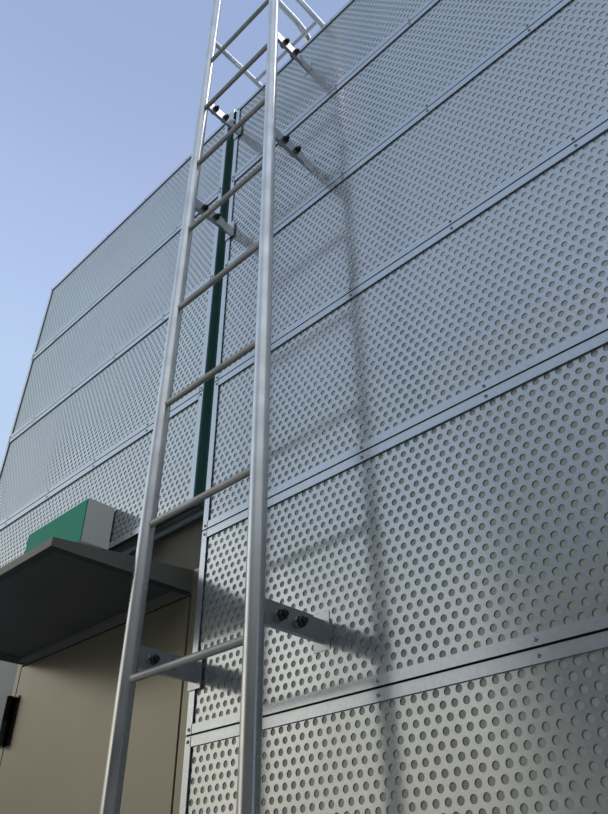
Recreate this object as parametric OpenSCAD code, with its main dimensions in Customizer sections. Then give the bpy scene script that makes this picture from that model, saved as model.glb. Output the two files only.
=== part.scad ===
// Noise barrier section: a door bay and two full bays of perforated cassette
// panels on H posts, with a canopied steel door and a step-over ladder.
// Millimetres. X runs along the wall, Y runs into it, Z is up.
// The origin is under the base plate of the middle post, on its centre.

/* [Wall] */
// Height of one full cassette panel
panel_h = 500; // [400:10:600]
// Panels stacked in a full bay
panels_up = 9; // [8:1:10]
// Full panels above the door
door_bay_full = 3; // [2:1:3]
// Distance between post centres
bay_pitch = 1500; // [1400:10:2000]
// Full bays to the right of the door bay
full_bays = 2; // [1:1:4]
// Thickness of a cassette, front lips to back sheet
panel_t = 95; // [80:1:120]
// Clear gap between the panels of two bays
bay_gap = 54; // [40:1:70]
// Height of the short panel over the door
short_h = 400; // [350:10:450]

/* [Cassette] */
// Width of the folded lip that frames the face sheet
lip_w = 23; // [18:1:32]
// How far the lip stands in front of the face sheet
lip_t = 7; // [4:0.5:8]
// Width of the shadow joint between stacked panels
joint_w = 6; // [3:0.5:8]
// Depth of the shadow joint
joint_depth = 12; // [8:1:20]
// How far the face sheet reaches under the lip
sheet_tuck = 10; // [6:1:10]
// Thickness of the perforated face sheet
sheet_t = 1.6; // [1:0.1:2]
// Depth from the lip face to the absorber lining
lining_depth = 11; // [10:1:20]
// Width of the tongue on the top edge
tongue_w = 30; // [20:1:40]
// Height of the tongue on the top edge
tongue_h = 10; // [6:1:14]
// Clearance of the tongue in the groove above it
tongue_fit = 0.3; // [0.2:0.1:1]

/* [Posts] */
// Depth and width of the H section
post_w = 100; // [90:1:110]
// Web of the H section
post_web = 6; // [5:0.5:10]
// Flange of the H section
post_flange = 8; // [6:0.5:12]
// Root radius of the H section
post_root = 8; // [6:0.5:10]
// Base plate, along the wall
base_w = 200; // [180:5:220]
// Base plate, from the front flange backwards
base_d = 160; // [140:5:180]
// Base plate thickness
base_t = 16; // [12:1:25]
// Anchor hole in the base plate
anchor_d = 18; // [14:1:22]
// Anchor hole spacing along the wall
anchor_px = 150; // [140:1:160]
// Anchor hole spacing across the wall
anchor_py = 80; // [70:1:80]
// Distance of the front anchor holes behind the front flange
anchor_in = 55; // [45:1:60]
// Depth of the joint channel between two bays
channel_d = 28; // [20:1:40]
// Sheet thickness of the joint channel
channel_t = 3; // [2:0.5:4]
// Distance from the face of the lips back to the joint channel
channel_set = 2; // [0:1:10]
// How far the cap of the joint channel stands out in front of the panels
cap_out = 7; // [5:1:20]
// Length of the cap, from its front edge backwards
cap_l = 44; // [35:1:60]
// Width of the cap
cap_w = 34; // [30:1:48]
// How far the front of the cap reaches down
cap_drop = 80; // [40:5:120]

/* [Door] */
// Width of the door leaf
leaf_w = 890; // [800:5:900]
// Distance from the top of the leaf up to the short panel
lintel_h = 230; // [180:5:260]
// Thickness of the door leaf
leaf_t = 40; // [35:1:45]
// Gap at the hinge side and at the top of the leaf
leaf_gap = 6; // [5:0.5:8]
// Gap at the lock side of the leaf
lock_gap = 8; // [7:0.5:10]
// Gap between the leaf and the stop
stop_gap = 5; // [5:0.5:7]
// Distance from the post centre to the lock edge of the leaf
leaf_from_post = 85; // [80:1:95]
// How far the door stands behind the face of the panels
door_set = 61; // [55:1:70]
// Face width of the frame on the lock side
lock_jamb_w = 43; // [38:1:50]
// Face width of the frame on the hinge side
hinge_jamb_w = 26; // [26:1:50]
// Depth of the door frame
frame_d = 60; // [60:1:66]
// Width of the box of the frame behind its face
throat_w = 25; // [20:1:25]
// How far the stop stands into the doorway
stop_in = 18; // [12:1:20]
// Thickness of the stop
stop_t = 15; // [10:1:20]
// Height of the threshold
sill_h = 20; // [15:1:25]
// Height of a hinge
hinge_h = 150; // [120:5:170]
// Diameter of the hinge knuckle
knuckle_d = 24; // [18:1:26]
// Hinge pin
pin_d = 9; // [8:0.5:12]
// Distance of the end hinges from the ends of the leaf
hinge_in = 170; // [150:5:250]
// Width of the hinge plate on the leaf
leaf_plate_w = 30; // [25:1:60]
// Width of the hinge plate on the frame
frame_plate_w = 18; // [14:1:18]
// Thickness of the hinge plates
plate_t = 4; // [3:0.5:6]
// Height of the lever handle
handle_z = 1050; // [900:10:1150]
// Distance of the lever handle from the lock edge
handle_in = 60; // [50:1:80]
// Length of the lever
lever_l = 120; // [100:5:140]
// Diameter of the lever
lever_d = 18; // [16:1:22]
// How far the lever stands off the leaf
lever_out = 44; // [38:1:60]
// Width of the handle's back plate
rose_w = 40; // [30:1:50]
// Height of the handle's back plate
rose_h = 180; // [120:5:220]
// Thickness of the handle's back plate
rose_t = 8; // [5:1:10]

/* [Canopy and sign] */
// How far the canopy stands out from the door
canopy_d = 413; // [300:1:500]
// Canopy height at the wall
canopy_back = 63; // [50:1:80]
// Canopy height at the front edge
canopy_front = 22; // [20:1:45]
// Lip round the soffit of the canopy
canopy_lip = 25; // [15:1:35]
// Depth of the soffit inside the lip
soffit_depth = 12; // [6:1:18]
// Height of the underside of the canopy above the leaf
canopy_up = 10; // [6:1:40]
// How far the canopy reaches past the leaf at each end
canopy_over = 5; // [0:1:20]
// Length of the sign box
sign_w = 368; // [300:1:400]
// Height of the sign box
sign_h = 145; // [120:1:160]
// Depth of the sign box
sign_d = 94; // [60:1:110]
// Distance of the sign from the middle of the door
sign_off = 92; // [0:1:100]
// Thickness of the green panel of the sign
sign_face_t = 3; // [2:0.5:6]
// Rim of the sign box round the green panel
sign_rim = 2; // [1:0.5:10]

/* [Ladder] */
// Clear width between the rails
ladder_clear = 354; // [300:2:400]
// Rail diameter
rail_d = 38; // [32:0.1:43]
// Rung diameter
rung_d = 17; // [16:0.1:22]
// Rung pitch
rung_pitch = 359; // [340:1:365]
// Height of the lowest rung
first_rung = 286; // [270:1:320]
// Rungs on each side
rungs_up = 13; // [10:1:14]
// Distance from the wall face to the front rails
standoff = 185; // [180:5:230]
// Distance from the front rails to the rear rails
crossing = 660; // [640:5:700]
// Distance of the ladder centre from the post centre
ladder_x = 249; // [246:1:400]
// Height of the top of the handrails above the wall
grab_h = 1275; // [1200:5:1400]
// Bend radius of the handrails
grab_r = 150; // [120:5:170]
// Height of the step-over frame above the wall
step_up = 283; // [200:1:320]
// Tube of the step-over frame
step_d = 25; // [20:0.1:30]
// Distance of the step-over cross bars from the rails
step_bar_in = 258; // [200:1:280]
// Bracket rows, counted in panels from the ground
bracket_rows = [1.25, 4.27, 7.37];
// Distance of the top bracket row from the top of the wall
top_bracket_down = 190; // [170:1:300]
// Bracket bar height
bar_h = 48; // [38:1:54]
// Bracket bar thickness
bar_t = 6; // [5:0.5:8]
// Length of the bar that is welded to the rail, measured short of the wall
bar_short = 35; // [30:1:60]
// Length of the bar of the wall foot
foot_bar_l = 165; // [150:1:175]
// Width of the wall foot
pad_w = 44; // [36:1:60]
// Height of the wall foot
pad_h = 78; // [60:1:90]
// Thickness of the wall foot
pad_t = 4; // [3:0.5:6]
// Bracket bolt
bracket_bolt_d = 12; // [10:1:14]
// How far the bracket bolt stands out on each side
bolt_out = 8; // [5:1:12]
// Distance of the two bolts from the wall foot
bolt_at = [76, 129];
// Side of the foot plate under a rail
foot_w = 90; // [86:1:100]
// Thickness of the foot plate
foot_t = 8; // [6:1:12]
// Anchor hole in the foot plate
foot_hole_d = 11; // [9:0.5:12]
// Anchor hole spacing in the foot plate
foot_hole_p = 64; // [60:1:68]

/* [Hidden] */
$fn = 48;
tiny = 0.1;
fit = 0.3;
plate_in = 6;
knuckle_gap = 0.5;
pin_h = 60;
pin_fit = 0.2;
steel = "lightsteelblue";
post_green = "darkslategray";
door_paint = "darkkhaki";

post_front = -post_w / 2;
face_y = post_front - panel_t;
back_y = post_front;
wall_h = panel_h * panels_up;
door_bay_bottom = wall_h - door_bay_full * panel_h - short_h;
full_l = bay_pitch - bay_gap;
door_bay_l = bay_pitch - bay_gap / 2;
end_lip = lip_w - joint_w / 2;
left_end = -bay_pitch;

door_y = face_y + door_set;
leaf_top = door_bay_bottom - lintel_h;
leaf_x1 = -leaf_from_post;
leaf_x0 = leaf_x1 - leaf_w;
leaf_z0 = sill_h + leaf_gap;
lock_jamb_x = leaf_x1 + lock_gap;
hinge_jamb_x = leaf_x0 - leaf_gap;
head_z = leaf_top + leaf_gap;
hinge_x = leaf_x0 - leaf_gap / 2;
hinge_y = door_y - plate_t - knuckle_d / 2;
hinge_zs = [leaf_z0 + hinge_in, (leaf_z0 + leaf_top) / 2, leaf_top - hinge_in];
frame_face_d = panel_t - door_set - fit;
stop_y = leaf_t + stop_gap;
sign_x0 = leaf_x0 + (leaf_w - sign_w) / 2 - sign_off;

rail_x = [ladder_x - (ladder_clear + rail_d) / 2, ladder_x + (ladder_clear + rail_d) / 2];
front_rail_y = face_y - standoff;
rear_rail_y = front_rail_y + crossing;
grab_z = wall_h + grab_h;
rail_top = grab_z - grab_r;
sheet_y = face_y + lip_t;
bracket_zs = concat([for (row = bracket_rows) row * panel_h], [wall_h - top_bracket_down]);
step_bars = [front_rail_y + step_bar_in, rear_rail_y - step_bar_in];
step_z = wall_h + step_up;

// Cassette panel
// Cross-section in Y and Z, with the tongue on top and the groove below.
module cassette_section(h, tongue)
{
    mid_y = face_y + panel_t / 2;
    groove_w = tongue_w + 2 * tongue_fit;
    difference() {
        union() {
            translate([face_y + joint_depth, 0]) square([panel_t - joint_depth, h]);
            translate([face_y, joint_w / 2]) square([joint_depth + tiny, h - joint_w]);
            if (tongue) translate([mid_y - tongue_w / 2, h - tiny]) square([tongue_w, tongue_h + tiny]);
        }
        translate([mid_y - groove_w / 2, -tiny]) square([groove_w, tongue_h + tongue_fit + tiny]);
    }
}

module along_x(x, l)
{
    translate([x, 0, 0]) rotate([90, 0, 90]) linear_extrude(l) children();
}

module cassette(x, z, l, h, tongue)
{
    inner = lip_w - sheet_tuck;
    end_inner = end_lip - sheet_tuck;
    color(steel)
    translate([0, 0, z])
    difference() {
        along_x(x, l) cassette_section(h, tongue);
        translate([x + end_lip, face_y - tiny, lip_w])
            cube([l - 2 * end_lip, lip_t + 2 * tiny, h - 2 * lip_w]);
        translate([x + end_inner, sheet_y, inner])
            cube([l - 2 * end_inner, lining_depth - lip_t, h - 2 * inner]);
    }
}

module face_sheet(x, z, l, h)
{
    inner = lip_w - sheet_tuck + fit;
    end_inner = end_lip - sheet_tuck + fit;
    color(steel)
    translate([x + end_inner, sheet_y, z + inner])
        cube([l - 2 * end_inner, sheet_t, h - 2 * inner]);
}

// Panel places: bay 0 is the door bay, bays 1 and 2 are the full bays.
function bay_x(bay) = bay == 0 ? left_end : (bay - 1) * bay_pitch + bay_gap / 2;
function bay_l(bay) = bay == 0 ? door_bay_l : full_l;
function door_panel_z(i) = i == 1 ? door_bay_bottom : wall_h - (door_bay_full + 2 - i) * panel_h;
function door_panel_h(i) = i == 1 ? short_h : panel_h;

module bay_panel(bay, i)
{
    last = bay == 0 ? door_bay_full + 1 : panels_up;
    z = bay == 0 ? door_panel_z(i) : (i - 1) * panel_h;
    h = bay == 0 ? door_panel_h(i) : panel_h;
    cassette(bay_x(bay), z, bay_l(bay), h, i < last);
}

module bay_sheets(bay)
{
    last = bay == 0 ? door_bay_full + 1 : panels_up;
    for (i = [1:last]) {
        z = bay == 0 ? door_panel_z(i) : (i - 1) * panel_h;
        h = bay == 0 ? door_panel_h(i) : panel_h;
        face_sheet(bay_x(bay), z, bay_l(bay), h);
    }
}

// Posts
module h_section()
{
    in_w = post_w - 2 * post_flange;
    side = (post_w - post_web) / 2;
    difference() {
        square([post_w, post_w], center = true);
        for (s = [-1, 1])
            translate([s * (post_web + side + tiny) / 2 + s * tiny / 2, 0])
                difference() {
                    square([side + tiny, in_w], center = true);
                    for (t = [-1, 1])
                        translate([-s * (side + tiny) / 2, t * in_w / 2])
                            difference() {
                                square([2 * post_root, 2 * post_root], center = true);
                                translate([s * post_root, -t * post_root]) circle(post_root);
                            }
                }
    }
}

module base_plate(room)
{
    translate([-base_w / 2 - room, post_front - room, -room])
        cube([base_w + 2 * room, base_d + 2 * room, base_t + 2 * room]);
}

module post(x)
{
    color(post_green)
    translate([x, 0, 0]) {
        translate([0, 0, base_t]) linear_extrude(wall_h - base_t) h_section();
        difference() {
            base_plate(0);
            for (sx = [-1, 1], ty = [0, 1])
                translate([sx * anchor_px / 2, post_front + anchor_in + ty * anchor_py, -tiny])
                    cylinder(h = base_t + 2 * tiny, d = anchor_d);
        }
    }
}

// Pressed channel that closes the joint between two bays.
module joint_channel(x, z0, z1)
{
    w = bay_gap - 2 * fit;
    color(post_green)
    translate([x - w / 2, face_y + channel_set, z0])
    linear_extrude(z1 - z0)
    difference() {
        square([w, channel_d]);
        translate([channel_t, -tiny]) square([w - 2 * channel_t, channel_d - channel_t + tiny]);
    }
}

module joint_channels()
{
    for (k = [0:full_bays - 1]) joint_channel(k * bay_pitch, k == 0 ? door_bay_bottom : 0, wall_h);
}

// Folded cap on top of each joint channel, with a front that hangs down before it.
module channel_caps()
{
    color(steel)
    for (k = [0:full_bays - 1])
        translate([k * bay_pitch - cap_w / 2, face_y - cap_out, wall_h]) {
            cube([cap_w, cap_l, channel_t]);
            translate([0, 0, -cap_drop]) cube([cap_w, channel_t, cap_drop + tiny]);
        }
}

// Door frame
// Plan of one jamb: x runs away from the opening, y runs into the wall.
module jamb_plan(jamb_w)
{
    square([jamb_w, frame_face_d]);
    square([throat_w, frame_d]);
    translate([-stop_in, stop_y]) square([stop_in + throat_w, stop_t]);
}

module door_frame()
{
    span = lock_jamb_x - hinge_jamb_x + 2 * tiny;
    color(door_paint)
    difference() {
        translate([0, door_y, 0]) {
            translate([lock_jamb_x, 0, 0])
                linear_extrude(door_bay_bottom) jamb_plan(lock_jamb_w);
            translate([hinge_jamb_x, 0, 0]) mirror([1, 0, 0])
                linear_extrude(door_bay_bottom) jamb_plan(hinge_jamb_w);
            translate([hinge_jamb_x - tiny, 0, 0]) {
                translate([0, 0, head_z]) cube([span, frame_face_d, door_bay_bottom - head_z]);
                translate([0, 0, head_z]) cube([span, frame_d, throat_w]);
                translate([0, stop_y, head_z - stop_in]) cube([span, stop_t, stop_in + tiny]);
            }
            // Threshold, a bar of its own between the jambs and before the stops.
            translate([hinge_jamb_x + fit, 0, 0])
                cube([lock_jamb_x - hinge_jamb_x - 2 * fit, stop_y - fit, sill_h]);
        }
        base_plate(fit);
    }
}

module door_side_panel()
{
    x1 = hinge_jamb_x - hinge_jamb_w - fit;
    color(steel)
    translate([left_end, door_y, 0])
        cube([x1 - left_end, panel_t - door_set, door_bay_bottom]);
}

module door_leaf()
{
    color(door_paint)
    translate([leaf_x0, door_y, leaf_z0]) cube([leaf_w, leaf_t, leaf_top - leaf_z0]);
}

// Hinges: the frame half carries the pin and the lower knuckle, the leaf half the upper one.
module hinge_half(leaf_side)
{
    side = leaf_side ? 1 : -1;
    plate_w = leaf_side ? leaf_plate_w : frame_plate_w;
    arm_w = knuckle_d / 2 - plate_t / 2;
    z0 = leaf_side ? knuckle_gap : -hinge_h / 2;
    half_h = hinge_h / 2 - knuckle_gap;
    difference() {
        union() {
            translate([0, 0, z0]) cylinder(h = half_h, d = knuckle_d);
            mirror([leaf_side ? 0 : 1, 0, 0]) {
                translate([plate_in, knuckle_d / 2, -hinge_h / 2]) cube([plate_w, plate_t, hinge_h]);
                translate([0, plate_t / 2, z0]) cube([plate_in + plate_t / 2, arm_w + plate_t, half_h]);
            }
        }
        if (leaf_side)
            translate([0, 0, -knuckle_gap]) cylinder(h = pin_h + 2 * knuckle_gap, d = pin_d + 2 * pin_fit);
    }
    if (!leaf_side) translate([0, 0, -half_h]) cylinder(h = half_h + pin_h, d = pin_d);
}

module hinge_halves(leaf_side)
{
    for (z = hinge_zs)
        color("dimgray") translate([hinge_x, hinge_y, z]) hinge_half(leaf_side);
}

// Lever handle with its back plate on each face of the leaf.
module door_handle()
{
    translate([-rose_w / 2, 0, -rose_h / 2]) cube([rose_w, rose_t, rose_h]);
    rotate([-90, 0, 0]) cylinder(h = lever_out + lever_d / 2, d = lever_d);
    translate([0, lever_out, 0]) rotate([0, -90, 0]) cylinder(h = lever_l, d = lever_d);
}

module door_handles()
{
    color("silver")
    translate([leaf_x1 - handle_in, door_y, handle_z]) {
        mirror([0, 1, 0]) door_handle();
        translate([0, leaf_t, 0]) door_handle();
    }
}

// Canopy over the door, with a recessed soffit.
module canopy()
{
    z0 = leaf_top + canopy_up;
    color("dimgray")
    difference() {
        along_x(leaf_x0 - canopy_over, leaf_w + 2 * canopy_over)
            polygon([[door_y, z0], [door_y, z0 + canopy_back],
                     [door_y - canopy_d, z0 + canopy_front], [door_y - canopy_d, z0]]);
        translate([leaf_x0 - canopy_over + canopy_lip, door_y - canopy_d + canopy_lip, z0 - tiny])
            cube([leaf_w + 2 * (canopy_over - canopy_lip), canopy_d - 2 * canopy_lip, soffit_depth + tiny]);
    }
}

module sign_box()
{
    color("beige")
    translate([sign_x0, face_y - sign_d, door_bay_bottom]) cube([sign_w, sign_d, sign_h]);
}

module sign_face()
{
    color("seagreen")
    translate([sign_x0 + sign_rim, face_y - sign_d - sign_face_t, door_bay_bottom + sign_rim])
        cube([sign_w - 2 * sign_rim, sign_face_t, sign_h - 2 * sign_rim]);
}

// Ladder
module ladder_rails()
{
    color("silver")
    for (x = rail_x, y = [front_rail_y, rear_rail_y]) {
        translate([x, y, foot_t - tiny]) cylinder(h = rail_top - foot_t + tiny, d = rail_d);
        difference() {
            translate([x - foot_w / 2, y - foot_w / 2, 0]) cube([foot_w, foot_w, foot_t]);
            for (s = [-1, 1])
                translate([x, y + s * foot_hole_p / 2, -tiny]) cylinder(h = foot_t + 2 * tiny, d = foot_hole_d);
        }
    }
}

module cut_by_rails()
{
    difference() {
        children();
        for (x = rail_x, y = [front_rail_y, rear_rail_y])
            translate([x, y, -tiny]) cylinder(h = rail_top + 2 * tiny, d = rail_d + 2 * tiny);
    }
}

module ladder_rungs()
{
    color("silver")
    for (y = [front_rail_y, rear_rail_y])
        for (i = [0:rungs_up - 1])
            cut_by_rails()
                translate([rail_x[0], y, first_rung + i * rung_pitch])
                    rotate([0, 90, 0]) cylinder(h = rail_x[1] - rail_x[0], d = rung_d);
}

module handrails()
{
    color("silver")
    for (x = rail_x) {
        translate([x, front_rail_y + grab_r, rail_top])
            rotate([90, 0, -90]) rotate_extrude(angle = 90) translate([grab_r, 0]) circle(d = rail_d);
        translate([x, rear_rail_y - grab_r, rail_top])
            rotate([90, 0, 90]) rotate_extrude(angle = 90) translate([grab_r, 0]) circle(d = rail_d);
        translate([x, front_rail_y + grab_r, grab_z])
            rotate([-90, 0, 0]) cylinder(h = crossing - 2 * grab_r, d = rail_d);
    }
}

module step_over_frame()
{
    color("silver")
    cut_by_rails() {
        for (x = rail_x)
            translate([x, front_rail_y, step_z])
                rotate([-90, 0, 0]) cylinder(h = crossing, d = step_d);
        for (y = step_bars)
            translate([rail_x[0], y, step_z])
                rotate([0, 90, 0]) cylinder(h = rail_x[1] - rail_x[0], d = rung_d);
    }
}

// Brackets: a bar on the rail, lapped and bolted to the bar of a T foot on the wall.
// Drawn from a rail at the origin to a wall at y = reach, with the foot's bar on the -X side.
module bracket(reach)
{
    foot_x = -1.5 * bar_t;
    difference() {
        translate([-bar_t / 2, 0, -bar_h / 2]) cube([bar_t, reach - bar_short, bar_h]);
        translate([0, 0, -bar_h]) cylinder(h = 2 * bar_h, d = rail_d + 2 * tiny);
    }
    translate([foot_x, reach - foot_bar_l, -bar_h / 2]) cube([bar_t + tiny, foot_bar_l, bar_h]);
    translate([foot_x + (bar_t - pad_w) / 2, reach - pad_t, -pad_h / 2]) cube([pad_w, pad_t, pad_h]);
    for (at = bolt_at)
        translate([foot_x - bolt_out, reach - at, 0])
            rotate([0, 90, 0]) cylinder(h = 2 * (bar_t + bolt_out), d = bracket_bolt_d);
}

// A foot at the post stands on the end lip in front and on the post's flange behind.
function pad_from(x) = x - bar_t - pad_w / 2;
function front_seat(x) = pad_from(x) < bay_gap / 2 + end_lip ? face_y : sheet_y;
function rear_seat(x) = pad_from(x) < post_w / 2 ? post_w / 2 : back_y;

module wall_brackets()
{
    color("silver")
    for (z = bracket_zs, x = rail_x) {
        translate([x, front_rail_y, z]) bracket(front_seat(x) - front_rail_y);
        translate([x, rear_rail_y, z]) mirror([0, 1, 0]) bracket(rear_rail_y - rear_seat(x));
    }
}

for (i = [1:door_bay_full + 1])
    bay_panel(0, i);
for (bay = [1:full_bays], i = [1:panels_up])
    bay_panel(bay, i);
bay_sheets(0);  // door_bay_face_sheets
for (bay = [1:full_bays])
    bay_sheets(bay);
post(left_end + post_w / 2);  // post_left
for (k = [0:full_bays])
    post(k * bay_pitch);
joint_channels();
channel_caps();
door_frame();
door_side_panel();
door_leaf();
hinge_halves(false);  // hinge_frame_halves
hinge_halves(true);  // hinge_leaf_halves
door_handles();
canopy();
sign_box();
sign_face();
ladder_rails();
ladder_rungs();
handrails();
step_over_frame();
wall_brackets();
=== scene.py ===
"""Looks of a noise barrier section: perforated steel cassettes, a canopied door and a step-over ladder.

Metres, in the frame of the CAD model: X runs along the wall, Y runs into it, Z is up.
"""

import math

import bpy
from mathutils import Matrix, Vector


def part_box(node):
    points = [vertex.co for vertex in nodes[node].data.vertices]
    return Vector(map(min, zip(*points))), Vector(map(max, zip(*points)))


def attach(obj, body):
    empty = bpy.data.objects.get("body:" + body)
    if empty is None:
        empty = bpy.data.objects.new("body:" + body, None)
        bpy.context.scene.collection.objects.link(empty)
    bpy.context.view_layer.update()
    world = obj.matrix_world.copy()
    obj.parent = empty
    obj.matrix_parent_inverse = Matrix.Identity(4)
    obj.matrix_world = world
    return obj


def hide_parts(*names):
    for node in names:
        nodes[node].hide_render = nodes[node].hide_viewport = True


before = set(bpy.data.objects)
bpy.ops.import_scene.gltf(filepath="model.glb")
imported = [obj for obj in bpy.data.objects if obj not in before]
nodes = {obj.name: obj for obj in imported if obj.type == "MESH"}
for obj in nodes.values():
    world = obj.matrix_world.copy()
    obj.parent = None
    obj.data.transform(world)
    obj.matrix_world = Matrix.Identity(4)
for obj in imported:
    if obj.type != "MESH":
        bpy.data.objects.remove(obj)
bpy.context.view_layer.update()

MM = 0.001

# Sizes read from the frame
panel_low, panel_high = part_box("bay_1_panel_2")
door_panel_low, door_panel_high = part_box("door_bay_panel_2")
frame_low, frame_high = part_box("door_frame")
canopy_low, canopy_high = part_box("canopy")
BAY_1_LEFT = panel_low.x
BAY_2_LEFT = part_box("bay_2_panel_2")[0].x
BAY_LENGTH = panel_high.x - panel_low.x
DOOR_BAY_LEFT = door_panel_low.x
DOOR_BAY_LENGTH = door_panel_high.x - door_panel_low.x
DOOR_BAY_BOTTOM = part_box("door_bay_panel_1")[0].z
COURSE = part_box("bay_1_panel_3")[0].z - panel_low.z
WALL_FACE = panel_low.y
WALL_RIGHT = BAY_2_LEFT + BAY_LENGTH
WALL_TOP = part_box("bay_1_panel_9")[1].z
SHEET_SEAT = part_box("bay_1_face_sheets")[0].y
COURSES = 9
DOOR_BAY_COURSES = 3
SHORT_COURSE = WALL_TOP - DOOR_BAY_COURSES * COURSE - DOOR_BAY_BOTTOM

# Panels of each bay from the bottom up, as (bottom, height)
FULL_PANELS = [(k * COURSE, COURSE) for k in range(COURSES)]
DOOR_PANELS = [(DOOR_BAY_BOTTOM, SHORT_COURSE)]
DOOR_PANELS += [(DOOR_BAY_BOTTOM + SHORT_COURSE + k * COURSE, COURSE) for k in range(DOOR_BAY_COURSES)]
# Bays, as (left end, length, panels)
BAY_1 = (BAY_1_LEFT, BAY_LENGTH, FULL_PANELS)
BAY_2 = (BAY_2_LEFT, BAY_LENGTH, FULL_PANELS)
DOOR_BAY = (DOOR_BAY_LEFT, DOOR_BAY_LENGTH, DOOR_PANELS)

# Sizes of the details, true to the object
TOP_LIP = 23 * MM
END_LIP = 20 * MM
SHEET_TUCK = 8 * MM
SHEET_FORWARD = 2.5 * MM
SHEET_FACE = SHEET_SEAT - SHEET_FORWARD
SHEET_THICKNESS = 1.2 * MM
LINING_GAP = 0.4 * MM
HOLE = 14 * MM
HOLE_SIDES = 12
HOLE_PITCH = 23.1 * MM
ROW_PITCH = 20 * MM
SCREW_HEAD = 8 * MM
SCREW_STEP = 317 * MM
SCREW_FIRST = 231 * MM
SCREW_ROW = 12.5 * MM
SCREW_END = 10 * MM
JOINT = 6 * MM
BEAD = 1.6 * MM
BEAD_DEPTH = 3 * MM
BEAD_ROOT = 0.2 * MM
SEAM = 2 * MM
SEAM_OUT = 0.3 * MM
SEAM_IN = 1 * MM
STRIP = 0.8 * MM
# Sizes of the painted shade: the strip along the lock jamb, the strip under the canopy's lip and the
# soffit's dark plate
JAMB_STRIP_WIDTH = 11 * MM
JAMB_STRIP_THICKNESS = 1.2 * MM
LIP_SHADE_WIDTH = 24 * MM
LIP_SHADE_INSET = 1 * MM
SOFFIT_EDGE = 25 * MM
SOFFIT_UNDERSIDE = 11.2 * MM
SOFFIT_TOP = 12 * MM

# Brackets: middles of their bars beside the rails, the faces that their feet stand on, and their heights
LEFT_BARS = 53 * MM
RIGHT_BARS = 445 * MM
LEFT_REAR_SEAT = 50 * MM
RIGHT_REAR_SEAT = -50 * MM
BRACKET_ROWS = (625 * MM, 2135 * MM, 3685 * MM, 4310 * MM)
BOLT_PLACES = (76 * MM, 129 * MM)
BAR_FACE_OUT = 3 * MM
BAR_FACE_IN = 9 * MM
# Turned profiles, as (distance out, radius)
WASHER = [(0.0, 12 * MM), (2.2 * MM, 12 * MM), (2.5 * MM, 11.6 * MM)]
NUT = [(2.4 * MM, 11 * MM), (11 * MM, 11 * MM), (12.5 * MM, 9.2 * MM)]
BOLT_END = [(12 * MM, 6 * MM), (18 * MM, 6 * MM), (19 * MM, 5.2 * MM)]
BOLT_HEAD = [(2.4 * MM, 11 * MM), (9.5 * MM, 11 * MM), (10.5 * MM, 9.2 * MM)]
LIP_SCREW = [(-0.3 * MM, SCREW_HEAD / 2), (1.0 * MM, SCREW_HEAD / 2), (1.9 * MM, 0.8 * SCREW_HEAD / 2),
             (2.3 * MM, 0.45 * SCREW_HEAD / 2), (1.5 * MM, 0.25 * SCREW_HEAD / 2)]


def linear(code):
    """Linear RGBA of an sRGB hex colour such as #8090a0."""
    values = [int(code[i:i + 2], 16) / 255 for i in (1, 3, 5)]
    return [v / 12.92 if v <= 0.04045 else ((v + 0.055) / 1.055) ** 2.4 for v in values] + [1.0]


def add(tree, kind, inputs=None, **settings):
    """Adds a node. Inputs go by socket name or number.

    Each is a value, another node's output socket, or another node, which stands for its first output."""
    node = tree.nodes.new(kind)
    for key, value in settings.items():
        setattr(node, key, value)
    for key, value in (inputs or {}).items():
        if isinstance(value, bpy.types.Node):
            value = value.outputs[0]
        if isinstance(value, bpy.types.NodeSocket):
            tree.links.new(value, node.inputs[key])
        else:
            node.inputs[key].default_value = value
    return node


def new_material(name):
    """An empty material and its node tree."""
    material = bpy.data.materials.new(name)
    material.use_nodes = True
    tree = material.node_tree
    tree.nodes.clear()
    return material, tree


# Materials

SPANGLE = 6 * MM
RAIN_SMEAR = 250 * MM
OXIDE_SHARE = 0.36
# Painted shade in the folds of the lips' sheet
FOLD_SHADE_COLOUR = "#30342e"
# Depth behind the lips' face at which the painted shade starts, is full, and ends, and its distance from
# the ends
FOLD_SHADE_STARTS = 1 * MM
FOLD_SHADE_FULL = 3 * MM
FOLD_SHADE_ENDS = 16 * MM
FOLD_SHADE_FROM_TOP = 1 * MM
FOLD_SHADE_FROM_ENDS = 2 * MM


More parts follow.
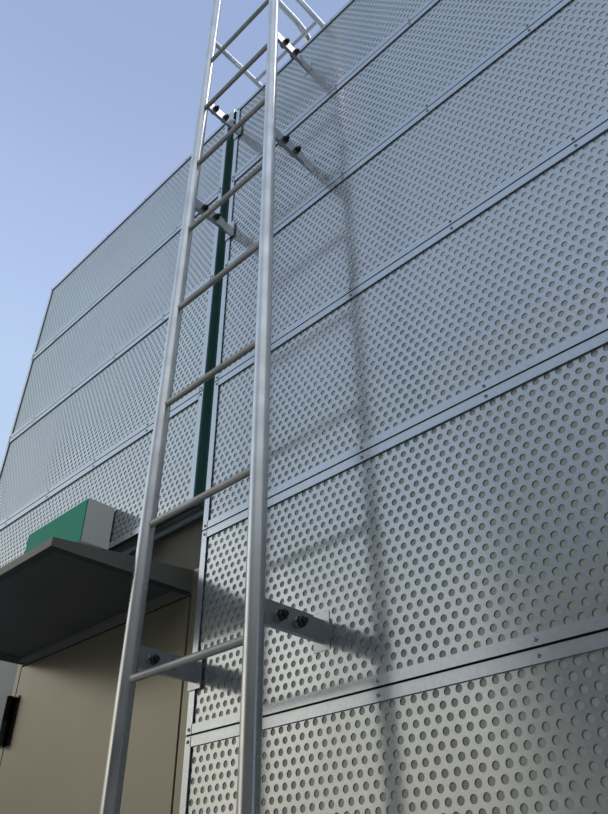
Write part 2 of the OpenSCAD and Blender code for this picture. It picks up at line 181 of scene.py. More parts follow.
def galvanised_sheet(name, base, light, dark, roughness, shaded_folds=False):
    """Hot-dip galvanised sheet: grey metal that mirrors its surroundings softly, dulled by its oxide."""
    material, tree = new_material(name)
    place = add(tree, "ShaderNodeTexCoord").outputs["Object"]
    # Spangle grains, a little coarser than real so that they show
    spangle = add(tree, "ShaderNodeTexVoronoi", {"Vector": place, "Scale": 1 / SPANGLE})
    smear = add(tree, "ShaderNodeTexNoise", {"Vector": place, "Scale": 1 / RAIN_SMEAR, "Detail": 4.0})
    grain = add(tree, "ShaderNodeMix", {"Factor": spangle.outputs["Color"], 6: linear(dark),
                                        7: linear(light)}, data_type="RGBA")
    patchy = add(tree, "ShaderNodeMapRange", {"Value": smear.outputs["Fac"], "From Min": 0.35,
                                              "From Max": 0.7, "To Min": 0.35, "To Max": 0.75})
    colour = add(tree, "ShaderNodeMix", {"Factor": patchy, 6: grain.outputs[2], 7: linear(base)},
                 data_type="RGBA").outputs[2]
    rough = add(tree, "ShaderNodeMapRange", {"Value": smear.outputs["Fac"], "From Min": 0.3,
                                             "From Max": 0.75, "To Min": roughness - 0.06,
                                             "To Max": roughness + 0.08})
    bright = add(tree, "ShaderNodeBsdfPrincipled", {"Base Color": colour, "Metallic": 1.0,
                                                    "Roughness": rough})
    oxide = add(tree, "ShaderNodeBsdfPrincipled", {"Base Color": colour, "Metallic": 0.8,
                                                   "Roughness": 0.5})
    shade = add(tree, "ShaderNodeMixShader", {0: OXIDE_SHARE, 1: bright, 2: oxide})
    if shaded_folds:
        # Painted shade: a dark colour on what lies behind the face of the lips, in the joints and at the
        # edges of the pockets, where shade falls
        along, depth, height = add(tree, "ShaderNodeSeparateXYZ", {0: place}).outputs
        share = add(tree, "ShaderNodeMapRange", {"Value": depth, "From Min": WALL_FACE + FOLD_SHADE_STARTS,
                                                 "From Max": WALL_FACE + FOLD_SHADE_FULL})
        for value, limit, way in ((depth, WALL_FACE + FOLD_SHADE_ENDS, "LESS_THAN"),
                                  (height, WALL_TOP - FOLD_SHADE_FROM_TOP, "LESS_THAN"),
                                  (along, DOOR_BAY_LEFT + FOLD_SHADE_FROM_ENDS, "GREATER_THAN"),
                                  (along, WALL_RIGHT - FOLD_SHADE_FROM_ENDS, "LESS_THAN")):
            inside = add(tree, "ShaderNodeMath", {0: value, 1: limit}, operation=way)
            share = add(tree, "ShaderNodeMath", {0: share, 1: inside}, operation="MULTIPLY")
        fold_shade_bsdf = add(tree, "ShaderNodeBsdfPrincipled", {"Base Color": linear(FOLD_SHADE_COLOUR), "Roughness": 0.8})
        shade = add(tree, "ShaderNodeMixShader", {0: share, 1: shade, 2: fold_shade_bsdf})
    add(tree, "ShaderNodeOutputMaterial", {"Surface": shade})
    return material


CHALK_PATCH = 180 * MM
ORANGE_PEEL = 3 * MM


def paint(name, colour, worn, roughness, gloss=0.5):
    """Powder coat or moulded plastic: even colour with slight chalking in large soft patches."""
    material, tree = new_material(name)
    place = add(tree, "ShaderNodeTexCoord").outputs["Object"]
    cloud = add(tree, "ShaderNodeTexNoise", {"Vector": place, "Scale": 1 / CHALK_PATCH, "Detail": 5.0})
    chalk = add(tree, "ShaderNodeMapRange", {"Value": cloud.outputs["Fac"], "From Min": 0.4,
                                             "From Max": 0.75})
    mixed = add(tree, "ShaderNodeMix", {"Factor": chalk, 6: linear(colour), 7: linear(worn)},
                data_type="RGBA")
    # Orange peel of the coating, drawn as a slight bump
    peel = add(tree, "ShaderNodeTexNoise", {"Vector": place, "Scale": 1 / ORANGE_PEEL, "Detail": 1.0})
    bump = add(tree, "ShaderNodeBump", {"Height": peel.outputs["Fac"], "Strength": 0.04,
                                        "Distance": 0.2 * MM})
    shade = add(tree, "ShaderNodeBsdfPrincipled", {"Base Color": mixed.outputs[2], "Roughness": roughness,
                                                   "Specular IOR Level": gloss, "Normal": bump})
    add(tree, "ShaderNodeOutputMaterial", {"Surface": shade})
    return material


HANDLING_PATCH = 90 * MM


def satin_steel(name, base, dull, roughness):
    """Ground or plated steel: a soft bright streak along it, duller in patches from hands and rain."""
    material, tree = new_material(name)
    place = add(tree, "ShaderNodeTexCoord").outputs["Object"]
    cloud = add(tree, "ShaderNodeTexNoise", {"Vector": place, "Scale": 1 / HANDLING_PATCH, "Detail": 4.0})
    tone = add(tree, "ShaderNodeMapRange", {"Value": cloud.outputs["Fac"], "From Min": 0.35,
                                            "From Max": 0.7})
    mixed = add(tree, "ShaderNodeMix", {"Factor": tone, 6: linear(base), 7: linear(dull)},
                data_type="RGBA")
    rough = add(tree, "ShaderNodeMapRange", {"Value": cloud.outputs["Fac"], "From Min": 0.3,
                                             "From Max": 0.7, "To Min": roughness - 0.04,
                                             "To Max": roughness + 0.06})
    shade = add(tree, "ShaderNodeBsdfPrincipled", {"Base Color": mixed.outputs[2], "Metallic": 1.0,
                                                   "Roughness": rough})
    add(tree, "ShaderNodeOutputMaterial", {"Surface": shade})
    return material


FIBRE = 2 * MM
# Colours of the film low down and high up, and the heights between which one turns into the other
FILM_LOW_DOWN = ("#868d87", "#959b95")
FILM_HIGH_UP = ("#b3bfc6", "#bfc8cc")
FILM_PALES_FROM = 2.3
FILM_PALEST_FROM = 3.1


def wool_film():
    """Film over the mineral wool, close behind the holes: half shiny, paler higher up."""
    material, tree = new_material("lining_film")
    place = add(tree, "ShaderNodeTexCoord").outputs["Object"]
    fibres = add(tree, "ShaderNodeTexNoise", {"Vector": place, "Scale": 1 / FIBRE, "Detail": 2.0})
    low, high = (add(tree, "ShaderNodeMix", {"Factor": fibres.outputs["Fac"], 6: linear(first),
                                             7: linear(second)}, data_type="RGBA").outputs[2]
                 for first, second in (FILM_LOW_DOWN, FILM_HIGH_UP))
    height = add(tree, "ShaderNodeSeparateXYZ", {0: place}).outputs[2]
    paler_share = add(tree, "ShaderNodeMapRange", {"Value": height, "From Min": FILM_PALES_FROM,
                                             "From Max": FILM_PALEST_FROM}, interpolation_type="SMOOTHSTEP")
    mixed = add(tree, "ShaderNodeMix", {"Factor": paler_share, 6: low, 7: high}, data_type="RGBA")
    shade = add(tree, "ShaderNodeBsdfPrincipled", {"Base Color": mixed.outputs[2], "Metallic": 0.45,
                                                   "Roughness": 0.45})
    add(tree, "ShaderNodeOutputMaterial", {"Surface": shade})
    return material


# Galvanised sheet: smooth and bright in front, a little bluer in the folds, with painted shade where they
# lie back, dull in the plain panel
FACE_SHEET = galvanised_sheet("galvanised_perforated_sheet", "#b8bec4", "#c0c6cb", "#b0b6bd",
                              roughness=0.16)
LIP_SHEET = galvanised_sheet("galvanised_folded_sheet", "#bac2cb", "#c5ccd3", "#afb8c3",
                             roughness=0.2, shaded_folds=True)
PLAIN_SHEET = galvanised_sheet("galvanised_plain_sheet", "#6c7478", "#757c80", "#646c70", roughness=0.45)
WOOL_FILM = wool_film()
# Stainless steel: bright ground tube, rungs dulled by boots, and brushed flat bars
STAINLESS = satin_steel("satin_stainless_steel", "#d4d6d7", "#c3c5c7", roughness=0.3)
RUNG_STEEL = satin_steel("dull_stainless_steel", "#a19f99", "#8d8b86", roughness=0.42)
BRACKET_STEEL = satin_steel("brushed_stainless_plate", "#b4b8bc", "#a5a9ae", roughness=0.35)
# Zinc-plated screws with a grey sheen, and dark grey nuts and bolts
ZINC_SCREW = satin_steel("zinc_plated_steel", "#8d9090", "#7c8081", roughness=0.28)
NUT_STEEL = satin_steel("dark_grey_steel", "#46443f", "#383733", roughness=0.4)
# Matt black that paints the shade in slits, along the lock jamb and under the canopy's lip, and powder
# coats from a glossy door to a matt canopy
SHADE_BLACK = paint("painted_shade_black", "#171814", "#1f201b", roughness=0.7)
POST_PAINT = paint("dark_green_powder_coat", "#47716f", "#4e7977", roughness=0.35)
DOOR_PAINT = paint("olive_beige_powder_coat", "#7c7761", "#857f6a", roughness=0.34, gloss=1.0)
CANOPY_PAINT = paint("grey_brown_powder_coat", "#787873", "#81817c", roughness=0.5, gloss=0.12)
# Dark grey that paints the shade on the lintel over the canopy and on the soffit
SHADE_GREY = paint("painted_shade_dark_grey", "#494b46", "#51534e", roughness=0.5, gloss=0.2)
# Stove enamel: shiny black on the leaf's hinge halves, grey green on the frame's
HINGE_BLACK = paint("black_stove_enamel", "#141516", "#1d1e1f", roughness=0.22)
HINGE_GREEN = paint("grey_green_stove_enamel", "#3d4640", "#464f49", roughness=0.3)
# Sign: pale moulded housing with a soft sheen, green moulded front with little gloss
SIGN_HOUSING = paint("pale_moulded_polycarbonate", "#f0f1e6", "#f4f5ec", roughness=0.45)
SIGN_GREEN = paint("green_moulded_acrylic", "#1c8a70", "#249378", roughness=0.5, gloss=0.12)

NODE_MATERIALS = {name: LIP_SHEET for name in nodes if "_panel_" in name}
NODE_MATERIALS.update({
    "post_left": POST_PAINT, "post_1": POST_PAINT, "post_2": POST_PAINT, "post_3": POST_PAINT,
    "joint_channels": POST_PAINT, "channel_caps": LIP_SHEET, "door_side_panel": PLAIN_SHEET,
    "door_frame": DOOR_PAINT, "door_leaf": DOOR_PAINT, "door_handles": STAINLESS,
    "hinge_frame_halves": HINGE_GREEN, "hinge_leaf_halves": HINGE_BLACK,
    "canopy": CANOPY_PAINT, "sign_box": SIGN_HOUSING, "sign_face": SIGN_GREEN,
    "ladder_rails": STAINLESS, "ladder_rungs": RUNG_STEEL, "handrails": STAINLESS,
    "step_over_frame": STAINLESS, "wall_brackets": BRACKET_STEEL,
})
for name, material in NODE_MATERIALS.items():
    nodes[name].data.materials.clear()
    nodes[name].data.materials.append(material)


# Meshes and Geometry Nodes

def mesh_object(name, points, faces):
    """An object at the origin with that mesh."""
    mesh = bpy.data.meshes.new(name)
    mesh.from_pydata(points, [], faces)
    mesh.update()
    thing = bpy.data.objects.new(name, mesh)
    bpy.context.scene.collection.objects.link(thing)
    return thing


def group_with(name, sockets):
    """A Geometry Nodes group with those inputs, and its input node."""
    group = bpy.data.node_groups.new(name, "GeometryNodeTree")
    group.interface.new_socket("Geometry", in_out="INPUT", socket_type="NodeSocketGeometry")
    for title, kind in sockets.items():
        group.interface.new_socket(title, in_out="INPUT", socket_type=kind)
    group.interface.new_socket("Geometry", in_out="OUTPUT", socket_type="NodeSocketGeometry")
    return group, add(group, "NodeGroupInput")


def grown(name, group, values, base=None):
    """The plain mesh object that a Geometry Nodes group makes from those values, at the origin."""
    holder = base or mesh_object(name + "_base", [], [])
    modifier = holder.modifiers.new("grow", "NODES")
    modifier.node_group = group
    for item in group.interface.items_tree:
        if item.in_out == "INPUT" and item.name in values:
            modifier[item.identifier] = values[item.name]
    bpy.context.view_layer.update()
    made = holder.evaluated_get(bpy.context.evaluated_depsgraph_get())
    mesh = bpy.data.meshes.new_from_object(made)
    mesh.name = name
    bpy.data.objects.remove(holder)
    piece = bpy.data.objects.new(name, mesh)
    bpy.context.scene.collection.objects.link(piece)
    return piece


def finish_piece(piece, body, slot, *replaced):
    """Puts the piece on its body and hides the CAD nodes that it stands for. Its slot is not used."""
    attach(piece, body)
    if replaced:
        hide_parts(*replaced)


# Perforated face sheets

def hole_cell(name, with_wall):
    """One hexagon of sheet round one hole, in the XZ plane, and where asked the hole's wall behind it."""
    corner = HOLE_PITCH / math.sqrt(3)
    rim = [math.radians(360 / HOLE_SIDES * k) for k in range(HOLE_SIDES)]
    points = []
    for k in range(6):
        a = math.radians(30 + 60 * k)
        points.append((corner * math.cos(a), 0, corner * math.sin(a)))
    points += [(HOLE / 2 * math.cos(a), 0, HOLE / 2 * math.sin(a)) for a in rim]
    faces = []
    for k in range(6):
        first, middle, last = (6 + (2 * k + step) % HOLE_SIDES for step in range(3))
        faces += [(k, middle, first), (k, last, middle), ((k + 1) % 6, last, k)]
    if with_wall:
        points += [(HOLE / 2 * math.cos(a), SHEET_THICKNESS, HOLE / 2 * math.sin(a)) for a in rim]
        for k in range(HOLE_SIDES):
            here, there = 6 + k, 6 + (k + 1) % HOLE_SIDES
            faces.append((here, there, there + HOLE_SIDES, here + HOLE_SIDES))
    return mesh_object(name, points, faces)


WELD = 0.02 * MM
FLAT_AREA = 0.02 * MM * MM
# Columns and rows that run past the sheet's far edges, so that it is full up to them
SPARE = 2.0


def perforation_tree():
    """Staggered rows of holes over one sheet, trimmed to its edges, and repeated up the bay."""
    group, given = group_with("perforated sheet", {
        "Cell": "NodeSocketObject", "Length": "NodeSocketFloat", "Height": "NodeSocketFloat",
        "First hole": "NodeSocketFloat", "First row": "NodeSocketFloat",
        "Hole pitch": "NodeSocketFloat", "Row pitch": "NodeSocketFloat", "Courses": "NodeSocketInt",
        "Course": "NodeSocketFloat", "Place": "NodeSocketVector", "Material": "NodeSocketMaterial",
    })
    g = given.outputs
    math_node = "ShaderNodeMath"
    # How many holes stand across the sheet and how many rows up it
    counts = []
    for size, pitch in ((g["Length"], g["Hole pitch"]), (g["Height"], g["Row pitch"])):
        fitting = add(group, math_node, {0: size, 1: pitch}, operation="DIVIDE")
        whole = add(group, math_node, {0: fitting}, operation="CEIL")
        counts.append(add(group, math_node, {0: whole, 1: SPARE}, operation="ADD"))
    across, up = counts
    count = add(group, math_node, {0: across, 1: up}, operation="MULTIPLY")
    cloud = add(group, "GeometryNodePoints", {"Count": count})
    # Row and column of each hole from its number
    index = add(group, "GeometryNodeInputIndex")
    middle = add(group, math_node, {0: index, 1: 0.5}, operation="ADD")
    rows_below = add(group, math_node, {0: middle, 1: across}, operation="DIVIDE")
    row = add(group, math_node, {0: rows_below}, operation="FLOOR")
    before = add(group, math_node, {0: row, 1: across}, operation="MULTIPLY")
    column = add(group, math_node, {0: index, 1: before}, operation="SUBTRACT")
    # Every other row stands half a pitch further on
    odd = add(group, math_node, {0: row, 1: 2.0}, operation="FLOORED_MODULO")
    half = add(group, math_node, {0: odd, 1: 0.5}, operation="MULTIPLY")
    shifted = add(group, math_node, {0: column, 1: half}, operation="ADD")
    along = add(group, math_node, {0: shifted, 1: g["Hole pitch"]}, operation="MULTIPLY")
    x = add(group, math_node, {0: g["First hole"], 1: along}, operation="ADD")
    above = add(group, math_node, {0: row, 1: g["Row pitch"]}, operation="MULTIPLY")
    z = add(group, math_node, {0: g["First row"], 1: above}, operation="ADD")
    at = add(group, "ShaderNodeCombineXYZ", {"X": x, "Z": z})
    spread = add(group, "GeometryNodeSetPosition", {"Geometry": cloud, "Position": at})
    cell = add(group, "GeometryNodeObjectInfo", {"Object": g["Cell"]}).outputs["Geometry"]
    holes = add(group, "GeometryNodeInstanceOnPoints", {"Points": spread, "Instance": cell})
    real = add(group, "GeometryNodeRealizeInstances", {"Geometry": holes})
    welded = add(group, "GeometryNodeMergeByDistance", {"Geometry": real, "Distance": WELD})
    # What lies past the sheet's edge is folded onto the edge, and the flat leftovers go
    where = add(group, "ShaderNodeSeparateXYZ", {0: add(group, "GeometryNodeInputPosition")}).outputs
    trimmed = {"Y": where["Y"]}
    for axis, size in (("X", g["Length"]), ("Z", g["Height"])):
        inner = add(group, math_node, {0: where[axis], 1: 0.0}, operation="MAXIMUM")
        trimmed[axis] = add(group, math_node, {0: inner, 1: size}, operation="MINIMUM")
    edge = add(group, "ShaderNodeCombineXYZ", trimmed)
    folded = add(group, "GeometryNodeSetPosition", {"Geometry": welded, "Position": edge})
    area = add(group, "GeometryNodeInputMeshFaceArea")
    flat = add(group, "FunctionNodeCompare", {"A": area, "B": FLAT_AREA}, operation="LESS_THAN")
    kept = add(group, "GeometryNodeDeleteGeometry", {"Geometry": folded, "Selection": flat}, domain="FACE")
    # The same sheet for each course of the bay
    stack = add(group, "GeometryNodePoints", {"Count": g["Courses"]})
    raised = add(group, math_node, {0: index, 1: g["Course"]}, operation="MULTIPLY")
    lift = add(group, "ShaderNodeCombineXYZ", {"Z": raised})
    level = add(group, "ShaderNodeVectorMath", {0: lift, 1: g["Place"]}, operation="ADD")
    levels = add(group, "GeometryNodeSetPosition", {"Geometry": stack, "Position": level})
    sheets = add(group, "GeometryNodeInstanceOnPoints", {"Points": levels, "Instance": kept})
    whole = add(group, "GeometryNodeRealizeInstances", {"Geometry": sheets})
    dressed = add(group, "GeometryNodeSetMaterial", {"Geometry": whole, "Material": g["Material"]})
    add(group, "NodeGroupOutput", {0: dressed})
    return group


# How far the visible sheet's edges lie inside the panel's, and the first full hole inside the sheet's
SHEET_IN = TOP_LIP - SHEET_TUCK
SHEET_END_IN = END_LIP - SHEET_TUCK
FIRST_HOLE = SHEET_TUCK
FIRST_ROW = SHEET_TUCK + 6 * MM


def sheet_piece(name, cell, left, length, bottom, height, courses, *replaced):
    """Perforated face sheets of some courses of one bay."""
    piece = grown(name, perforation, {
        "Cell": cell, "Length": length - 2 * SHEET_END_IN, "Height": height - 2 * SHEET_IN,
        "First hole": FIRST_HOLE - 2 * HOLE_PITCH, "First row": FIRST_ROW - 2 * ROW_PITCH,
        "Hole pitch": HOLE_PITCH, "Row pitch": ROW_PITCH, "Courses": courses, "Course": COURSE,
        "Place": (left + SHEET_END_IN, SHEET_FACE, bottom + SHEET_IN), "Material": FACE_SHEET,
    })
    finish_piece(piece, "wall", "galvanised_sheet", *replaced)


perforation = perforation_tree()
near_cell = hole_cell("near_cell", True)
far_cell = hole_cell("far_cell", False)
# Three courses to a piece keep it under the limit of triangles
GROUP = 3
for k in range(COURSES // GROUP):
    bottom = k * GROUP * COURSE
    sheet_piece(f"bay_1_sheets_{k + 1}", near_cell, BAY_1_LEFT, BAY_LENGTH, bottom, COURSE, GROUP,
                "bay_1_face_sheets")
    sheet_piece(f"bay_2_sheets_{k + 1}", far_cell, BAY_2_LEFT, BAY_LENGTH, bottom, COURSE, GROUP,
                "bay_2_face_sheets")
sheet_piece("door_bay_sheets", far_cell, DOOR_BAY_LEFT, DOOR_BAY_LENGTH, DOOR_BAY_BOTTOM + SHORT_COURSE,
            COURSE, DOOR_BAY_COURSES, "door_bay_face_sheets")
sheet_piece("door_bay_short_sheet", far_cell, DOOR_BAY_LEFT, DOOR_BAY_LENGTH, DOOR_BAY_BOTTOM,
            SHORT_COURSE, 1, "door_bay_face_sheets")
bpy.data.objects.remove(near_cell)
bpy.data.objects.remove(far_cell)


def lining(name, left, length, panels):
    """The film behind the holes of one bay, one rectangle for each panel."""
    points, faces = [], []
    y = SHEET_FACE + SHEET_THICKNESS + LINING_GAP
    x0, x1 = left + SHEET_END_IN, left + length - SHEET_END_IN
    for bottom, height in panels:
        z0, z1 = bottom + SHEET_IN, bottom + height - SHEET_IN
        start = len(points)
        points += [(x0, y, z0), (x1, y, z0), (x1, y, z1), (x0, y, z1)]
        faces.append((start, start + 1, start + 2, start + 3))
    piece = mesh_object(name, points, faces)
    piece.data.materials.append(WOOL_FILM)
    finish_piece(piece, "wall", "galvanised_sheet")


lining("door_bay_lining", *DOOR_BAY)
lining("bay_1_lining", *BAY_1)
lining("bay_2_lining", *BAY_2)


# Screws in the lips, and bolts of the brackets

def turned(name, profile, sides):
    """A solid of revolution about -Y from (distance out, radius) pairs, closed at its far end."""
    points, faces = [], []
    for out, radius in profile:
        for k in range(sides):
            a = 2 * math.pi * k / sides
            points.append((radius * math.cos(a), -out, radius * math.sin(a)))
    for ring in range(len(profile) - 1):
        for k in range(sides):
            a, b = ring * sides + k, ring * sides + (k + 1) % sides
            faces.append((a, b, b + sides, a + sides))
    faces.append(tuple(range((len(profile) - 1) * sides, len(profile) * sides)))
    return mesh_object(name, points, faces)


SPIN_SEED = 7
OUTWARD = (0.0, 0.0)
TO_RIGHT = (0.0, math.pi / 2)
TO_LEFT = (0.0, -math.pi / 2)


def fasteners(name, places, profile, sides, material, turn, slot):
    """Turned heads, nuts or washers at those places, each spun by its own angle.

    They point to -Y, or elsewhere by a turn about X and Z."""
    group, given = group_with(name, {
        "Head": "NodeSocketObject", "Seed": "NodeSocketInt", "Turn X": "NodeSocketFloat",
        "Turn Z": "NodeSocketFloat", "Material": "NodeSocketMaterial",
    })
    g = given.outputs
    spin = add(group, "FunctionNodeRandomValue", {2: 0.0, 3: math.tau, "Seed": g["Seed"]},
               data_type="FLOAT").outputs[1]
    own = add(group, "ShaderNodeCombineXYZ", {"Y": spin})
    aim = add(group, "ShaderNodeCombineXYZ", {"X": g["Turn X"], "Z": g["Turn Z"]})
    way = add(group, "FunctionNodeRotateEuler", {0: own, 1: aim})
    head = add(group, "GeometryNodeObjectInfo", {"Object": g["Head"]}).outputs["Geometry"]
    set_out = add(group, "GeometryNodeInstanceOnPoints", {"Points": g["Geometry"], "Instance": head,
                                                          "Rotation": way})
    real = add(group, "GeometryNodeRealizeInstances", {"Geometry": set_out})
    dressed = add(group, "GeometryNodeSetMaterial", {"Geometry": real, "Material": g["Material"]})
    add(group, "NodeGroupOutput", {0: dressed})
    holder = mesh_object(name + "_base", places, [])
    head_object = turned(name + "_head", profile, sides)
    piece = grown(name, group, {"Head": head_object, "Seed": SPIN_SEED, "Turn X": turn[0],
                                "Turn Z": turn[1], "Material": material}, holder)
    bpy.data.objects.remove(head_object)
    finish_piece(piece, "wall", slot)


def screw_places(left, length, panels):
    """Screw places along the top and bottom lips of the panels of one bay."""
    columns = [SCREW_END, length - SCREW_END]
    x = SCREW_FIRST
    while x < length - 3 * SCREW_END:
        columns.append(x)
        x += SCREW_STEP
    return [(left + column, WALL_FACE, z) for column in columns
            for bottom, height in panels
            for z in (bottom + SCREW_ROW, bottom + height - SCREW_ROW)]


def bolt_places(out):
    """Places of the bracket bolts on the bars' faces that lie that far right of the bars' middle."""
    places = []
    for bars_middle, front, rear in ((LEFT_BARS, WALL_FACE, LEFT_REAR_SEAT),
                                     (RIGHT_BARS, SHEET_SEAT, RIGHT_REAR_SEAT)):
        for z in BRACKET_ROWS:
            for away in BOLT_PLACES:
                places += [(bars_middle + out, front - away, z), (bars_middle + out, rear + away, z)]
    return places


fasteners("lip_screws", screw_places(*BAY_1) + screw_places(*BAY_2) + screw_places(*DOOR_BAY),
          LIP_SCREW, 10, ZINC_SCREW, OUTWARD, "galvanised_sheet")
# A nut with its washer and the bolt's end on one face of the bars, the bolt's head on the other
nut_side, head_side = bolt_places(BAR_FACE_OUT), bolt_places(-BAR_FACE_IN)
fasteners("nut_washers", nut_side, WASHER, 24, ZINC_SCREW, TO_RIGHT, "satin_steel")
fasteners("nuts", nut_side, NUT, 6, NUT_STEEL, TO_RIGHT, "satin_steel")
fasteners("bolt_ends", nut_side, BOLT_END, 16, NUT_STEEL, TO_RIGHT, "satin_steel")
fasteners("head_washers", head_side, WASHER, 24, ZINC_SCREW, TO_LEFT, "satin_steel")
fasteners("bolt_heads", head_side, BOLT_HEAD, 6, NUT_STEEL, TO_LEFT, "satin_steel")


# Beads, seams and strips

def bars(name, boxes, material, slot):
    """One mesh of straight bars, each given by its low and high corner."""
    points, faces = [], []
    for (x0, y0, z0), (x1, y1, z1) in boxes:
        k = len(points)
        points += [(x0, y0, z0), (x1, y0, z0), (x1, y1, z0), (x0, y1, z0),
                   (x0, y0, z1), (x1, y0, z1), (x1, y1, z1), (x0, y1, z1)]
        faces += [(k, k + 3, k + 2, k + 1), (k + 4, k + 5, k + 6, k + 7), (k, k + 1, k + 5, k + 4),
                  (k + 1, k + 2, k + 6, k + 5), (k + 2, k + 3, k + 7, k + 6), (k + 3, k, k + 4, k + 7)]
    piece = mesh_object(name, points, faces)
    piece.data.materials.append(material)
    finish_piece(piece, "wall", slot)


beads, seams = [], []
for left, length, panels in (BAY_1, BAY_2, DOOR_BAY):
    for joint, _ in panels[1:]:
        # The rounded fold of the lower panel narrows the joint
        beads.append(((left, WALL_FACE, joint - JOINT / 2 - BEAD_ROOT),
                      (left + length, WALL_FACE + BEAD_DEPTH, joint - JOINT / 2 + BEAD)))
        # Painted shade: black bars for the dark slits where the end lips meet the top and bottom lips
        for x in (left + END_LIP - SEAM, left + length - END_LIP):
            for z0, z1 in ((joint - TOP_LIP, joint - JOINT / 2), (joint + JOINT / 2, joint + TOP_LIP)):
                seams.append(((x, WALL_FACE - SEAM_OUT, z0), (x + SEAM, WALL_FACE + SEAM_IN, z1)))
bars("joint_beads", beads, LIP_SHEET, "galvanised_sheet")
bars("lip_seams", seams, SHADE_BLACK, "galvanised_sheet")

# Painted shade: a dark face for the shade on the lintel over the canopy, and a black strip for the shade
# at the edge of the lock jamb
door_face = frame_low.y
bars("lintel_face", [((frame_low.x, door_face - STRIP, canopy_high.z),
                      (frame_high.x, door_face, frame_high.z))], SHADE_GREY, "canopy_paint")
bars("jamb_strip", [((frame_high.x - JAMB_STRIP_WIDTH, door_face - JAMB_STRIP_THICKNESS, 0.0),
                     (frame_high.x, door_face, canopy_high.z))], SHADE_BLACK, "door_paint")

# Painted shade: a black strip under the canopy's lip, and a dark plate for the shade on the soffit inside
# it
left, front, under = canopy_low
right, back = canopy_high.x, canopy_high.y
bars("canopy_seal", [((left + LIP_SHADE_INSET, front + LIP_SHADE_INSET, under - STRIP),
                      (right - LIP_SHADE_INSET, front + LIP_SHADE_WIDTH, under)),
                     ((left + LIP_SHADE_INSET, front + LIP_SHADE_WIDTH, under - STRIP),
                      (left + LIP_SHADE_WIDTH, back, under)),
                     ((right - LIP_SHADE_WIDTH, front + LIP_SHADE_WIDTH, under - STRIP),
                      (right - LIP_SHADE_INSET, back, under))], SHADE_BLACK, "canopy_paint")
bars("soffit_plate", [((left + SOFFIT_EDGE, front + SOFFIT_EDGE, under + SOFFIT_UNDERSIDE),
                       (right - SOFFIT_EDGE, back - SOFFIT_EDGE, under + SOFFIT_TOP))],
     SHADE_GREY, "canopy_paint")


# Stage, lights and camera

FLOOR_HALF = 30
PALE_FLOOR = "#b4b6b5"
DIM_FLOOR = "#6a6b68"


def stage():
    """A plain pale floor. It is seen and mirrored pale, but throws little light up at the object."""
    floor = mesh_object("floor", [(-FLOOR_HALF, -FLOOR_HALF, 0), (FLOOR_HALF, -FLOOR_HALF, 0),
                                  (FLOOR_HALF, FLOOR_HALF, 0), (-FLOOR_HALF, FLOOR_HALF, 0)],
                        [(0, 1, 2, 3)])
    material, tree = new_material("studio_floor")
    rays = add(tree, "ShaderNodeLightPath").outputs
    seen = rays["Is Camera Ray"]
    for ray in ("Is Glossy Ray", "Is Transmission Ray"):
        seen = add(tree, "ShaderNodeMath", {0: seen, 1: rays[ray]}, operation="MAXIMUM").outputs[0]
    pale = add(tree, "ShaderNodeBsdfDiffuse", {"Color": linear(PALE_FLOOR)})
    dim = add(tree, "ShaderNodeBsdfDiffuse", {"Color": linear(DIM_FLOOR)})
    mixed = add(tree, "ShaderNodeMixShader", {0: seen, 1: dim, 2: pale})
    add(tree, "ShaderNodeOutputMaterial", {"Surface": mixed})
    floor.data.materials.append(material)


# Height in the sky as the sine of the elevation, and the colour there
RIGHT_SKY = [(0.0, "#33302a"), (0.2, "#363430"), (0.36, "#464644"), (0.46, "#949696"), (0.53, "#f6fafd"),
             (0.7, "#edf4fb"), (0.85, "#dce8f9"), (1.0, "#c5d4e8")]
FRONT_SKY = [(0.0, "#262827"), (0.17, "#2b2e2d"), (0.34, "#4a4f4f"), (0.45, "#88949f"), (0.55, "#aab7c6"),
             (0.62, "#b7c5d7"), (0.7, "#c4d3ea"), (0.8, "#bbcce3"), (0.88, "#b1c6df"), (1.0, "#acc0dc")]
LEFT_SKY = [(0.0, "#f4e8cc"), (0.14, "#fbf0da"), (0.21, "#fdf6e4"), (0.35, "#e9ecea"), (0.5, "#d1e2f4"),
            (0.58, "#cadaec"), (0.7, "#c4d3ea"), (0.8, "#bbcce3"), (0.88, "#b1c6df"), (1.0, "#acc0dc")]
FAR_LEFT_SKY = [(0.0, "#5f5d54"), (0.12, "#736f60"), (0.18, "#bfbaa6"), (0.25, "#fff8e4"),
                (0.42, "#e9f5ff"), (0.55, "#e4f4ff"), (0.69, "#daedff"), (0.8, "#cadcf8"),
                (1.0, "#b5c9e4")]
BACKDROP_SKY = [(0.0, "#c4d6f2"), (0.6, "#bbd1f1"), (0.66, "#b5caef"), (0.72, "#b0c3eb"),
                (0.77, "#abbee6"), (0.81, "#a6b8e0"), (0.86, "#9eb2da"), (1.0, "#96aad2")]
# Degrees to the left of the wall's outward normal, between which each sky takes over from the last
SKIES_BY_TURN = ((-22, 0, FRONT_SKY), (25.5, 30, LEFT_SKY), (48, 57, FAR_LEFT_SKY))
# Depth of the direction of view, between which the sky behind the wall takes over
BACKDROP_FROM, BACKDROP_TO = -0.09, 0.05


def sky_by_height(tree, height, stops):
    """The colour of the sky at that height, from (height, hex colour) stops."""
    ramp = add(tree, "ShaderNodeValToRGB", {"Fac": height})
    steps = ramp.color_ramp.elements
    first, last = steps
    first.position, first.color = stops[0][0], linear(stops[0][1])
    last.position, last.color = stops[-1][0], linear(stops[-1][1])
    for position, code in stops[1:-1]:
        steps.new(position).color = linear(code)
    return ramp.outputs["Color"]


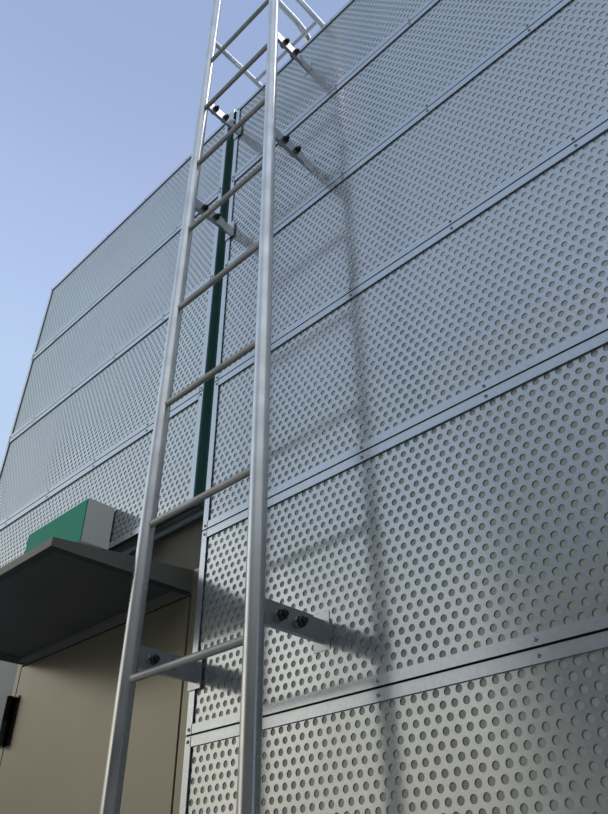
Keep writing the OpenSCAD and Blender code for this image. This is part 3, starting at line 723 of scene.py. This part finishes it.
def evening_sky():
    """An overcast sky: dim low down in front, bright towards the left, pale blue behind the wall."""
    world = bpy.data.worlds.new("soft_sky")
    bpy.context.scene.world = world
    world.use_nodes = True
    tree = world.node_tree
    tree.nodes.clear()
    ray = add(tree, "ShaderNodeTexCoord").outputs["Generated"]
    x, y, z = add(tree, "ShaderNodeSeparateXYZ", {0: ray}).outputs
    against_x = add(tree, "ShaderNodeMath", {0: x, 1: -1.0}, operation="MULTIPLY")
    against_y = add(tree, "ShaderNodeMath", {0: y, 1: -1.0}, operation="MULTIPLY")
    turn = add(tree, "ShaderNodeMath", {0: against_x, 1: against_y}, operation="ARCTAN2").outputs[0]
    bands = [(turn, math.radians(start), math.radians(end), stops) for start, end, stops in SKIES_BY_TURN]
    bands.append((y, BACKDROP_FROM, BACKDROP_TO, BACKDROP_SKY))
    colour = sky_by_height(tree, z, RIGHT_SKY)
    for value, start, end, stops in bands:
        share = add(tree, "ShaderNodeMapRange", {"Value": value, "From Min": start, "From Max": end},
                    interpolation_type="SMOOTHSTEP")
        colour = add(tree, "ShaderNodeMix", {"Factor": share, 6: colour, 7: sky_by_height(tree, z, stops)},
                     data_type="RGBA").outputs[2]
    sky = add(tree, "ShaderNodeBackground", {"Color": colour, "Strength": 1.0})
    add(tree, "ShaderNodeOutputWorld", {"Surface": sky})


def sun_lamp(name, travel, energy, degrees, colour, mirrored=True):
    """A broad sun whose light travels along that direction. Unmirrored, it makes no hard spot in metal."""
    sun = bpy.data.lights.new(name, "SUN")
    sun.energy = energy
    sun.angle = math.radians(degrees)
    sun.color = colour
    lamp = bpy.data.objects.new(name, sun)
    lamp.rotation_mode = "QUATERNION"
    lamp.rotation_quaternion = Vector(travel).to_track_quat("-Z", "Y")
    lamp.visible_glossy = mirrored
    bpy.context.scene.collection.objects.link(lamp)


LEFT_SUN = (1.45, 1.0, -0.48)
BACK_SUN = (-0.45, -0.32, -0.83)
CAMERA_PLACE = (1.390, -1.188, 1.662)
CAMERA_YAW = 42.737
CAMERA_PITCH = 36.261
CAMERA_ROLL = 1.170
FOCAL_PIXELS = 704.9
IMAGE_HEIGHT = 814
SENSOR = 36.0
SHIFT_PIXELS = (-7.0, -0.9)
NEAREST_SEEN = 0.05


def camera():
    """The photograph's viewpoint: standing near the wall, looking up and to the left along it."""
    yaw, pitch, roll = (math.radians(a) for a in (CAMERA_YAW, CAMERA_PITCH, CAMERA_ROLL))
    forward = Vector((-math.sin(yaw) * math.cos(pitch), math.cos(yaw) * math.cos(pitch), math.sin(pitch)))
    right = Vector((math.cos(yaw), math.sin(yaw), 0.0))
    down = forward.cross(right)
    x_axis = math.cos(roll) * right + math.sin(roll) * down
    y_axis = math.sin(roll) * right - math.cos(roll) * down
    data = bpy.data.cameras.new("camera")
    data.sensor_width = SENSOR
    data.lens = FOCAL_PIXELS * SENSOR / IMAGE_HEIGHT
    data.shift_x, data.shift_y = (s / IMAGE_HEIGHT for s in SHIFT_PIXELS)
    data.clip_start = NEAREST_SEEN
    view = bpy.data.objects.new("camera", data)
    turn = Matrix((x_axis, y_axis, -forward)).transposed()
    view.matrix_world = Matrix.Translation(CAMERA_PLACE) @ turn.to_4x4()
    bpy.context.scene.collection.objects.link(view)
    bpy.context.scene.camera = view


stage()
evening_sky()
sun_lamp("left_sun", LEFT_SUN, energy=1.2, degrees=9, colour=(1.0, 0.91, 0.76), mirrored=False)
sun_lamp("left_haze", LEFT_SUN, energy=0.08, degrees=25, colour=(1.0, 0.9, 0.74))
sun_lamp("back_sun", BACK_SUN, energy=0.5, degrees=18, colour=(1.0, 0.93, 0.82))
camera()
bpy.context.scene.view_settings.view_transform = "Standard"
